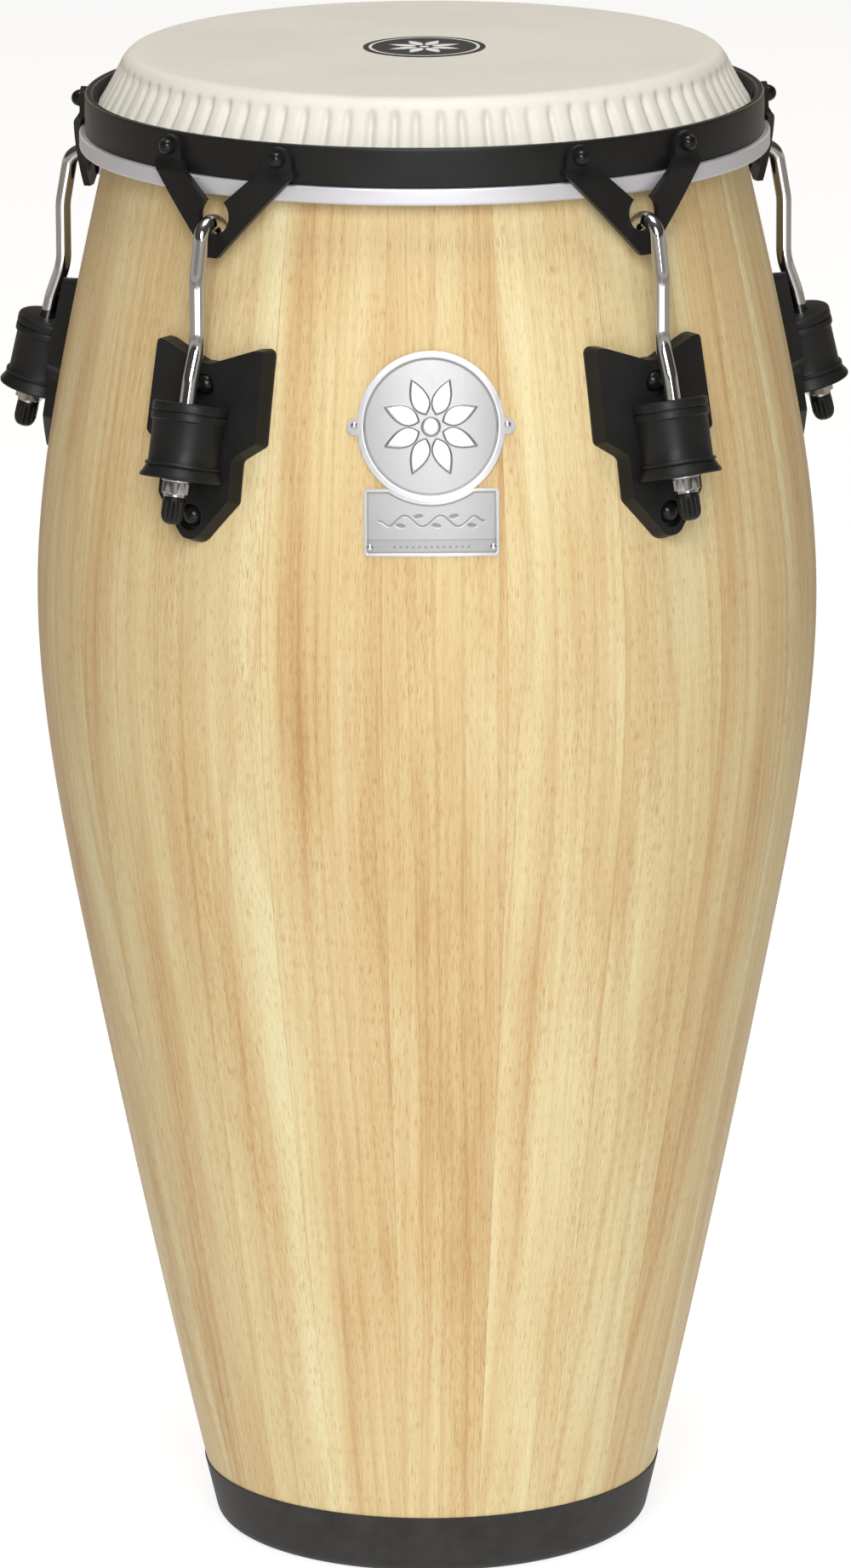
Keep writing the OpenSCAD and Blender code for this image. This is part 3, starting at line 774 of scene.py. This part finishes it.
def rod_centreline():
    """Points up the hook from its threaded end: radius, height, heading and length so far.

    The heading is an angle from the vertical towards the drum's axis, in degrees.
    """
    r0, z0 = axis_point()
    low, mid, high = [Vector(b) for b in BENDS]
    arch = Vector(ARCH_MIDDLE)

    def heading(a, b):
        return math.degrees(math.atan2(a.x - b.x, b.y - a.y))

    to_arch = (arch - high).length
    shank = heading(low, mid)
    arch_heading = heading(high, arch) - math.degrees(math.asin(ARCH_R / to_arch))
    end = NUT_TOP - NUT_H - CAP_DEPTH + 1
    turns = (shank - ROD_LEAN, shank, arch_heading)
    cuts = [SOFT_BEND * math.tan(math.radians(t) / 2) for t in turns]
    steps = [(0, (low - Vector((r0, z0))).length - end - cuts[0]), (shank - ROD_LEAN, SOFT_BEND),
             (0, (mid - low).length - cuts[0] - cuts[1]), (-shank, SOFT_BEND),
             (0, (high - mid).length - cuts[1] - cuts[2]), (arch_heading, SOFT_BEND),
             (0, math.sqrt(to_arch**2 - ARCH_R**2) - cuts[2]), (180 - arch_heading, ARCH_R), (0, 3)]
    lean = math.radians(ROD_LEAN)
    r, z, turn, run = r0 - end * math.sin(lean), z0 + end * math.cos(lean), ROD_LEAN, 0.0
    points = [(r, z, turn, run)]
    # a step is no bend and a length, or a bend and its radius
    for bend, size in steps:
        length = size if bend == 0 else math.radians(abs(bend)) * size
        spacing = THREAD_PITCH / 8 if z < z0 + THREAD_REACH + 2 else 0.8
        count = max(1, round(length / spacing))
        for _ in range(count):
            turn += bend / count / 2
            step = length / count
            r -= step * math.sin(math.radians(turn))
            z += step * math.cos(math.radians(turn))
            turn += bend / count / 2
            run += step
            points.append((r, z, turn, run))
    return points


def hook_shape():
    """A bent rod with a rolled thread on its lower end and a rounded tip."""
    points = rod_centreline()
    around, tip_length = 24, 1.2
    thread_end = next(run for r, z, turn, run in points if z > axis_point()[1] + THREAD_REACH)
    total = points[-1][3]
    verts = []
    for r, z, turn, run in points:
        t = math.radians(turn)
        radius = ROD_R
        into_tip = tip_length - (total - run)
        if into_tip > 0:
            radius *= math.sqrt(max(0.0, 1 - (into_tip / 1.25) ** 2))
        if run < 1:
            radius *= 0.86 + 0.14 * run
        for i in range(around):
            a = 2 * math.pi * i / around
            cut = abs(2 * ((run / THREAD_PITCH - i / around) % 1) - 1)
            out = radius - THREAD_DEPTH * cut * smooth(thread_end, thread_end - 2.5, run)
            x, y = out * math.cos(a), out * math.sin(a)
            verts.append((r + x * math.cos(t), y, z + x * math.sin(t)))
    faces = grid(len(points), around, wrap_columns=True)
    faces.append(tuple(range(around))[::-1])
    faces.append(tuple(range(len(verts) - around, len(verts))))
    return verts, faces


def barrel_shape():
    """The bracket's barrel: round, with beads at the lip and the waist, and a flared foot."""
    foot, waist, lip, top = BARREL_FOOT, BARREL_BEAD, BARREL_LIP, BARREL_TOP
    # heights, and how far each stands out from the barrel's radius
    rows = [(foot, 2.2), (foot + 0.3, 2.8), (foot + 1.1, 3.0), (foot + 2.0, 2.6),
            (foot + 3.4, 1.7), (foot + 5.0, 0.95), (waist - 1.3, 0.55), (waist - 1.0, 0.35),
            (waist - 0.9, 0.8), (waist - 0.5, 1.15), (waist + 0.3, 1.15), (waist + 0.8, 0.75),
            (waist + 0.95, 0.0), (waist + 1.2, -0.15), (0, -0.1), (lip - 1, 0),
            (lip - 0.2, 0.1), (lip, 0.7), (lip + 0.5, 1.1), (lip + 3.2, 1.15),
            (lip + 3.8, 0.8), (lip + 3.9, 0.2), (lip + 4.3, 0.15), (lip + 4.4, 0.8),
            (lip + 4.9, 1.15), (top - 1.2, 1.15), (top - 0.4, 0.8), (top, 0.1)]
    around, bore = 96, ROD_R + 0.35
    angles = [2 * math.pi * i / around for i in range(around)]
    verts = []
    for z, grow in rows:
        for a in angles:
            r = BARREL_R + grow
            if math.cos(a) > 0:
                # the front is slightly square
                r *= 1 + 0.035 * (1 - math.cos(4 * a)) / 2
            verts.append((max(BARREL_BACK, r * math.cos(a) - BARREL_BEHIND), r * math.sin(a), z))
    faces = grid(len(rows), around, wrap_columns=True)
    # both ends close onto the rod's bore, and the bore joins them
    for z in (foot, top):
        verts += [(bore * math.cos(a), bore * math.sin(a), z) for a in angles]
    low, high = len(rows) * around, (len(rows) + 1) * around
    for outer, inner in ((0, low), (low - around, high), (low, high)):
        for i in range(around):
            j = (i + 1) % around
            faces.append((outer + i, outer + j, inner + j, inner + i))
    return verts, faces


def hexed(profile, flats, around=72):
    """A turned profile (height and radius) held inside a hexagon's flats."""
    verts = []
    for z, r in profile:
        for i in range(around):
            a = 2 * math.pi * i / around
            flat = flats / 2 / math.cos((a + math.pi / 6) % (math.pi / 3) - math.pi / 6)
            verts.append((min(r, flat) * math.cos(a), min(r, flat) * math.sin(a), z))
    return verts, grid(len(profile), around, True, True)


def nut_shape():
    """A hex nut with a round collar below it."""
    low, high = NUT_TOP - NUT_H, NUT_TOP
    bore = ROD_R + 0.15
    corner = NUT_FLATS / 2 / math.cos(math.pi / 6) + 0.1
    return hexed([(low, bore), (low, 5.4), (low + 0.3, 5.75), (low + 1.1, 5.75), (low + 1.4, 5.6),
                  (low + 1.45, 6.4), (low + 1.9, corner), (high - 0.5, corner), (high, 6.5),
                  (high, bore)], NUT_FLATS)


def cap_shape():
    """A fluted plastic cap over the rod's end."""
    low, high, bore = NUT_TOP - NUT_H - CAP_H, NUT_TOP - NUT_H, ROD_R + 0.4
    profile = [(ON_AXIS, low), (2.0, low + 0.1), (3.2, low + 0.5), (4.2, low + 1.3),
               (4.9, low + 2.4), (5.3, low + 3.6), (CAP_R, low + 5), (CAP_R, high - 2.4),
               (CAP_R, high - 1.9), (CAP_R - 0.1, high - 0.2), (5.2, high), (bore, high),
               (bore, high - CAP_DEPTH), (ON_AXIS, high - CAP_DEPTH)]

    def flute(a, r, z):
        """One of ten grooves down the outside, fading out at both ends."""
        if r <= 4.6:
            return 0
        depth = 0.75 * smooth(low + 1.0, low + 3.0, z) * smooth(high - 1.6, high - 2.6, z)
        phase = (a / (2 * math.pi) * 10) % 1 - 0.5
        return -depth * math.exp(-((phase / 0.17) ** 2))
    return revolve(profile, 160, flute, closed=False)


def washer(inner, outer, thick, edge):
    """A flat ring's profile, with its outer edges eased."""
    corners = [(inner, 0, 0.1), (outer, 0, edge), (outer, thick, edge), (inner, thick, 0.1)]
    return rounded(corners, 3)


def bracket_shape():
    """The bracket's plate, sunk at its bolts and bent to the shell, with the barrel on it."""
    low, high = PLATE_T - SINK, PLATE_T + 5
    bore = revolve([(ON_AXIS, low), (COUNTERBORE_R, low), (COUNTERBORE_R, high), (ON_AXIS, high)],
                   48, closed=False)
    bores = Shape()
    for z in BOLT_Z:
        middle = (z - PLATE_Z) / math.cos(lean_at(PLATE_Z)) - 1.3
        bores.add(bore, Matrix.Translation((0, middle, 0)))
    outline, place = rounded(both_sides(PLATE_OUTLINE), 5), face_place(GASKET_T, PLATE_Z)
    plate = bent_plate(outline, PLATE_T, place, 4.0, draft=1.5, holes=(bores.verts, bores.faces))
    bracket = Shape(plate).add(barrel_shape(), on_rod())
    return bracket.verts, bracket.faces


def make_lugs():
    """At each lug the bracket, the hook rod, its nut, the nut's cap and the washer above it."""
    bracket, hook, nut, cap = bracket_shape(), hook_shape(), nut_shape(), cap_shape()
    ring = revolve(washer(ROD_R + 0.4, 7.2, WASHER_T, 0.25), 60)
    washers = Shape()
    for k in LUGS:
        lug = at_turn(lug_turn(k))
        Shape(bracket).make(f"lug_bracket_{k}_casting", "shell", f"lug_bracket_{k}",
                            "black_casting", CASTING, matrix=lug, bevel=0.7)
        Shape(hook).make(f"tuning_hook_{k}_rod", f"hook_{k}", f"tuning_hook_{k}",
                         "chrome", CHROME, sharp=70, matrix=lug)
        Shape(nut, on_rod()).make(f"tuning_nut_{k}_hex", f"tuner_{k}", f"tuning_nut_{k}",
                                  "chrome", PLATED, sharp=25, matrix=lug)
        Shape(cap, on_rod()).make(f"nut_cap_{k}_plastic", f"tuner_{k}", f"nut_cap_{k}",
                                  "cap_plastic", CAP_BLACK, matrix=lug)
        washers.add(ring, lug @ on_rod() @ Matrix.Translation((0, 0, NUT_TOP)))
    washers.make("nut_washer_rings", "shell", "nut_washers", "zinc_steel", ZINC)


def make_fasteners():
    """What holds the brackets: gaskets and bolts outside, straps, washers and nuts inside."""
    outline = rounded(both_sides(PLATE_OUTLINE), 5)
    gasket = bent_plate(outline, GASKET_T, face_place(0.02, PLATE_Z), 4.0)
    outline = rounded(both_sides([(14, -47, 4), (14, 45, 4)]), 5)
    backing = bent_plate(outline, BACKING_T, face_place(-WALL - BACKING_T, PLATE_Z), 4.0)
    ring = revolve(washer(3.2, 7, 1.2, 0.2), 48)
    nut = hexed([(1.2, 3.1), (1.2, 5.3), (1.7, 5.9), (5.7, 5.9), (6.2, 5.3), (6.2, 3.1)], 10)
    shank = revolve([(ON_AXIS, -21.5), (2.9, -21.5), (2.9, 7.4), (2.4, 7.9), (ON_AXIS, 7.9)],
                    24, closed=False)
    gaskets, backings, bolts, washers, nuts = [Shape() for _ in range(5)]
    for k in LUGS:
        lug = at_turn(lug_turn(k))
        gaskets.add(gasket, lug)
        backings.add(backing, lug)
        for z in BOLT_Z:
            face = lug @ on_face(z)
            head = (GASKET_T + PLATE_T) * math.cos(lean_at(z)) - SINK + 0.15
            bolts.add(dome(5.25, 4.4, 1.0), face @ Matrix.Translation((head, 0, 0)))
            # Z points into the drum from the backing plate's inner face
            back = Matrix.Translation((-(WALL + BACKING_T) * math.cos(lean_at(z)) - 0.5, 0, 0))
            seat = face @ back @ Matrix.Rotation(-math.pi / 2, 4, "Y")
            washers.add(ring, seat)
            nuts.add(nut, seat)
            bolts.add(shank, seat)
    gaskets.make("gasket_sheets", "shell", "bracket_gaskets", "foot_rubber", RUBBER)
    backings.make("backing_straps", "shell", "backing_plates", "zinc_steel", ZINC, bevel=0.3)
    bolts.make("bolt_set", "shell", "bracket_bolts", "black_coating", FASTENER)
    washers.make("bolt_washer_rings", "shell", "bolt_washers", "zinc_steel", ZINC)
    nuts.make("bolt_nut_set", "shell", "bolt_nuts", "zinc_steel", ZINC, sharp=25)


# ---- badge ----

def badge_relief(u, v):
    """Height, ink and raised metal for the round badge: a rim, a rosette and a raised heart, with a
    dark line of painted shade at the foot of each.
    """
    r = math.hypot(u, v)
    rim = smooth(BADGE_R - 3.4, BADGE_R - 2.9, r)
    # painted shade: a dark line at the foot of the raised rim
    line = band_at(r, BADGE_R - 3.9, BADGE_R - 3.6, 0.3)
    petal = petals(u, v, 8, 6.5, 24, 4.4)
    # painted shade: a dark outline round the foot of each raised petal
    edge = petals(u, v, 8, 5.7, 24.9, 4.9) - petal
    heart = smooth(4.2, 3.8, r)
    raised = max(rim, petal, heart)
    # the ink here is all painted shade: the lines at the foot of the rim, round the petals and
    # round the heart
    ink = min(1, 0.75 * line + 0.8 * max(0, edge) + 0.8 * band_at(r, 4.5, 4.8, 0.25))
    return 0.55 * raised, ink, raised


def name_edges(u):
    """The name plate's lower and upper edge: rounded corners, and a bay round the badge."""
    corner = max(0, abs(u) - (NAME_W / 2 - NAME_CORNER))
    curve = math.sqrt(max(0, NAME_CORNER**2 - corner**2))
    bay = BADGE_Z - math.sqrt(max(0, (BADGE_R + 0.1) ** 2 - u * u))
    return NAME_LOW + NAME_CORNER - curve, min(NAME_HIGH - NAME_CORNER + curve, bay)


def name_relief(u, z):
    """The name plate: a rim with a dark line of painted shade at its foot, a strip with a row of
    dots, and a vine where a name would be.
    """
    inset = min(NAME_W / 2 - abs(u), z - NAME_LOW, NAME_HIGH - z,
                math.hypot(u, z - BADGE_Z) - BADGE_R)
    rim = smooth(1.7, 1.3, inset)
    # painted shade: a dark line at the foot of the raised rim
    line = band_at(inset, 1.9, 2.1, 0.25)
    strip = smooth(NAME_STRIP + 0.2, NAME_STRIP - 0.2, z) * (1 - rim)
    fade = smooth(VINE_HALF, VINE_HALF - 6, abs(u))
    wave = VINE_Z + VINE_RISE * math.sin(u * VINE_RATE) * fade
    vine = smooth(0.55, 0.25, abs(z - wave)) * (abs(u) < VINE_HALF)
    # a leaf beside each crossing of the stem, above and below in turn
    for k in range(-2, 3):
        side = 1 if k % 2 else -1
        x, y = u - k * math.pi / VINE_RATE - 2.2, z - VINE_Z - side * 2.2
        vine = max(vine, smooth(1.15, 0.75, math.hypot(x * 0.45 - side * y * 0.25, y * 0.9)))
    across = (u + DOT_PITCH / 2) % DOT_PITCH - DOT_PITCH / 2
    dots = smooth(0.75, 0.45, math.hypot(across, z - NAME_STRIP + 3.4)) * (abs(u) < DOTS_HALF)
    # ink: the rim's line is painted shade; the vine, the dots, the strip and its top line are print
    ink = 0.6 * line + 0.55 * vine + 0.45 * dots + 0.14 * strip
    ink += 0.35 * band_at(z, NAME_STRIP - 0.1, NAME_STRIP + 0.1, 0.3) * (1 - rim)
    return 0.3 * rim - 0.15 * vine, min(1, ink), rim


def relief_plate(rows, columns, point, relief, thick, z_mid, wrap):
    """A thin plate with relief, as a grid of points; its border folds down to the wood.

    point(row, column) gives u and z; relief(u, z) gives height, ink and raised metal.
    """
    place = face_place(0.05, z_mid)
    shape, ink = Shape(), []
    rise = math.cos(lean_at(z_mid))
    for j in range(rows + 1):
        for i in range(columns):
            u, z = point(j, i)
            height, mark, raised = relief(u, z)
            shape.verts.append(Vector(place(u, (z - z_mid) / rise, thick - 0.6 + height)))
            ink.append((mark, raised, 0))
    if wrap:
        loop = [(rows, i) for i in range(columns)]
    else:
        loop = [(0, i) for i in range(columns)]
        loop += [(j, columns - 1) for j in range(1, rows + 1)]
        loop += [(rows, i) for i in range(columns - 2, -1, -1)]
        loop += [(j, 0) for j in range(rows - 1, 0, -1)]
    border = [j * columns + i for j, i in loop]
    shape.faces = grid(rows + 1, columns, wrap_columns=wrap)
    base = len(shape.verts)
    for j, i in loop:
        u, z = point(j, i)
        shape.verts.append(Vector(place(u, (z - z_mid) / rise, 0)))
        ink.append((0, 1, 0))
    n = len(border)
    for k in range(n):
        after = (k + 1) % n
        shape.faces.append((border[k], border[after], base + after, base + k))
    shape.faces.append(tuple(range(base, base + n))[::-1])
    shape.marks["ink"] = ink
    return shape


def make_badge():
    """The round badge with its ears, the name plate under it, and four pins."""
    front = at_turn(0)
    around, rings = 320, 72

    def disc(j, i):
        a, r = 2 * math.pi * i / around, BADGE_R * j / rings
        return r * math.cos(a), BADGE_Z + r * math.sin(a)

    def disc_relief(u, z):
        return badge_relief(u, z - BADGE_Z)

    shape = relief_plate(rings, around, disc, disc_relief, BADGE_T, BADGE_Z, True)
    ears = Shape()
    for side in (-1, 1):
        ear = [(side * EAR_PIN[0] + x, y) for x, y in arc(0, 0, EAR_R, 0, 351, 39)]
        ears.add(bent_plate(ear, EAR_T, face_place(0.05, BADGE_Z), 3.0))
    shape.marks["ink"] += [(0, 1, 0)] * len(ears.verts)
    shape.add((ears.verts, ears.faces))
    shape.make("badge_round", "shell", "badge_disc", "badge_metal", BADGE_METAL,
               matrix=front, sharp=50)

    columns, rows = 264, 128

    def panel(j, i):
        u = NAME_W * (i / (columns - 1) - 0.5)
        low, high = name_edges(u)
        return u, low + (high - low) * j / rows

    middle = (NAME_LOW + NAME_HIGH) / 2
    plate = relief_plate(rows, columns, panel, name_relief, NAME_T, middle, False)
    plate.make("badge_name_plate", "shell", "badge_plate", "badge_metal", BADGE_METAL,
               matrix=front, sharp=50)

    pins = Shape()
    for u, z in (EAR_PIN, NAME_PIN):
        for side in (-1, 1):
            turn = side * math.degrees(math.asin(u / wood_r(z)))
            lift = EAR_T if z == BADGE_Z else NAME_T - 0.2
            seat = at_turn(turn) @ on_face(z) @ Matrix.Translation((lift, 0, 0))
            pins.add(dome(1.7, 1.0), seat)
    pins.make("badge_pin_heads", "shell", "badge_pins", "badge_metal", ZINC)


make_shell()
make_foot()
make_head()
make_label()
make_rings()
make_ring_plates()
make_lugs()
make_fasteners()
make_badge()


# ---- stage, light and camera ----

KEY, FILL, TOP, REAR, LOW = 90, 54, 64, 12, 6
# the floor's glow, painted light from a floor that is no lamp: how fast its lane widens behind the
# drum, and its colours in and beside it
LANE_SPREAD, LANE_GLOW, SIDE_GLOW = 0.085, (0.84, 0.84, 0.84), (0.36, 0.32, 0.27)


def area_light(name, spot, aim, size, power, colour=(1, 1, 1)):
    """A soft rectangular lamp at a spot, turned towards its aim."""
    light = bpy.data.lights.new(name, "AREA")
    light.shape, light.size, light.size_y = "RECTANGLE", size[0], size[1]
    light.energy, light.color = power, colour
    lamp = bpy.data.objects.new(name, light)
    lamp.location = spot
    lamp.rotation_mode = "QUATERNION"
    lamp.rotation_quaternion = (Vector(aim) - Vector(spot)).to_track_quat("-Z", "Y")
    bpy.context.collection.objects.link(lamp)


def make_stage():
    """A pale floor with painted light: it glows like a shooting table though it is no lamp, most in
    a lane that widens behind the drum.
    """
    mesh = bpy.data.meshes.new("floor")
    far = 30
    corners = [(-far, -far, 0), (far, -far, 0), (far, far, 0), (-far, far, 0)]
    mesh.from_pydata(corners, [], [(0, 1, 2, 3)])
    m = Nodes("floor_painted_glow")
    x, y, _ = m.split(m.place())
    lane = m.math("MULTIPLY", m.math("MAXIMUM", y, 0.0), LANE_SPREAD)
    beside = m.math("SUBTRACT", m.math("ABSOLUTE", x), lane)
    # painted light: the floor's emitted glow, bright in the lane and dimmer and warmer beside it
    glow = m.ramp(m.math("MULTIPLY", beside, 0.5), (0.14, LANE_GLOW), (0.50, SIDE_GLOW))
    m.set(Base_Color=(0.30, 0.30, 0.30, 1), Roughness=0.9, Specular_IOR_Level=0.1,
          Emission_Color=glow, Emission_Strength=1.0)
    mesh.materials.append(m.material)
    floor = bpy.data.objects.new("floor", mesh)
    bpy.context.collection.objects.link(floor)


def make_light():
    """A world that is brightest at the horizon, and lamps in front, above and behind."""
    world = bpy.data.worlds.new("studio")
    world.use_nodes = True
    tree = world.node_tree
    place = tree.nodes.new("ShaderNodeTexCoord")
    split = tree.nodes.new("ShaderNodeSeparateXYZ")
    ramp = tree.nodes.new("ShaderNodeValToRGB")
    tree.links.new(place.outputs["Generated"], split.inputs[0])
    tree.links.new(split.outputs["Z"], ramp.inputs["Fac"])
    tree.links.new(ramp.outputs["Color"], tree.nodes["Background"].inputs[0])
    greys = [(0.0, 0.6), (0.09, 0.6), (0.20, 0.08), (0.75, 0.12), (1.0, 0.34)]
    set_stops(ramp, [(at, (grey, grey * 0.94, grey * 0.85)) for at, grey in greys])
    bpy.context.scene.world = world
    aim = (0, 0, 0.42)
    area_light("key", (-0.45, -3.9, 2.7), aim, (1.1, 2.0), KEY)
    area_light("fill", (0.55, -4.0, 2.1), aim, (0.9, 2.0), FILL)
    area_light("low", (0, -2.2, 0.14), (0, 0, 0.65), (2.9, 0.24), LOW)
    area_light("top", (0, -0.4, 3.6), (0, 0.1, 0.7), (1.6, 1.6), TOP)
    for name, side in (("rear_left", -1), ("rear_right", 1)):
        area_light(name, (side * 1.5, 4.0, 2.2), aim, (1.2, 2.2), REAR, (1.0, 0.74, 0.50))
    bpy.context.scene.view_settings.view_transform = "Standard"


def make_camera():
    """The camera stands level with the front, well above the drum, and looks down along it."""
    azimuth, pitch, roll = math.radians(-0.7), 13.855, -0.30
    distance, height, sideways = 4.8065, 1.5697, -0.0013
    data = bpy.data.cameras.new("camera")
    data.lens, data.sensor_width = 224.19, 36
    data.clip_start, data.clip_end = 0.1, 100
    camera = bpy.data.objects.new("camera", data)
    place = Matrix.Rotation(azimuth, 4, "Z") @ Matrix.Translation((sideways, -distance, height))
    tilt = Matrix.Rotation(math.radians(90 - pitch), 4, "X")
    camera.matrix_world = place @ tilt @ Matrix.Rotation(math.radians(roll), 4, "Z")
    bpy.context.collection.objects.link(camera)
    bpy.context.scene.camera = camera


make_stage()
make_light()
make_camera()
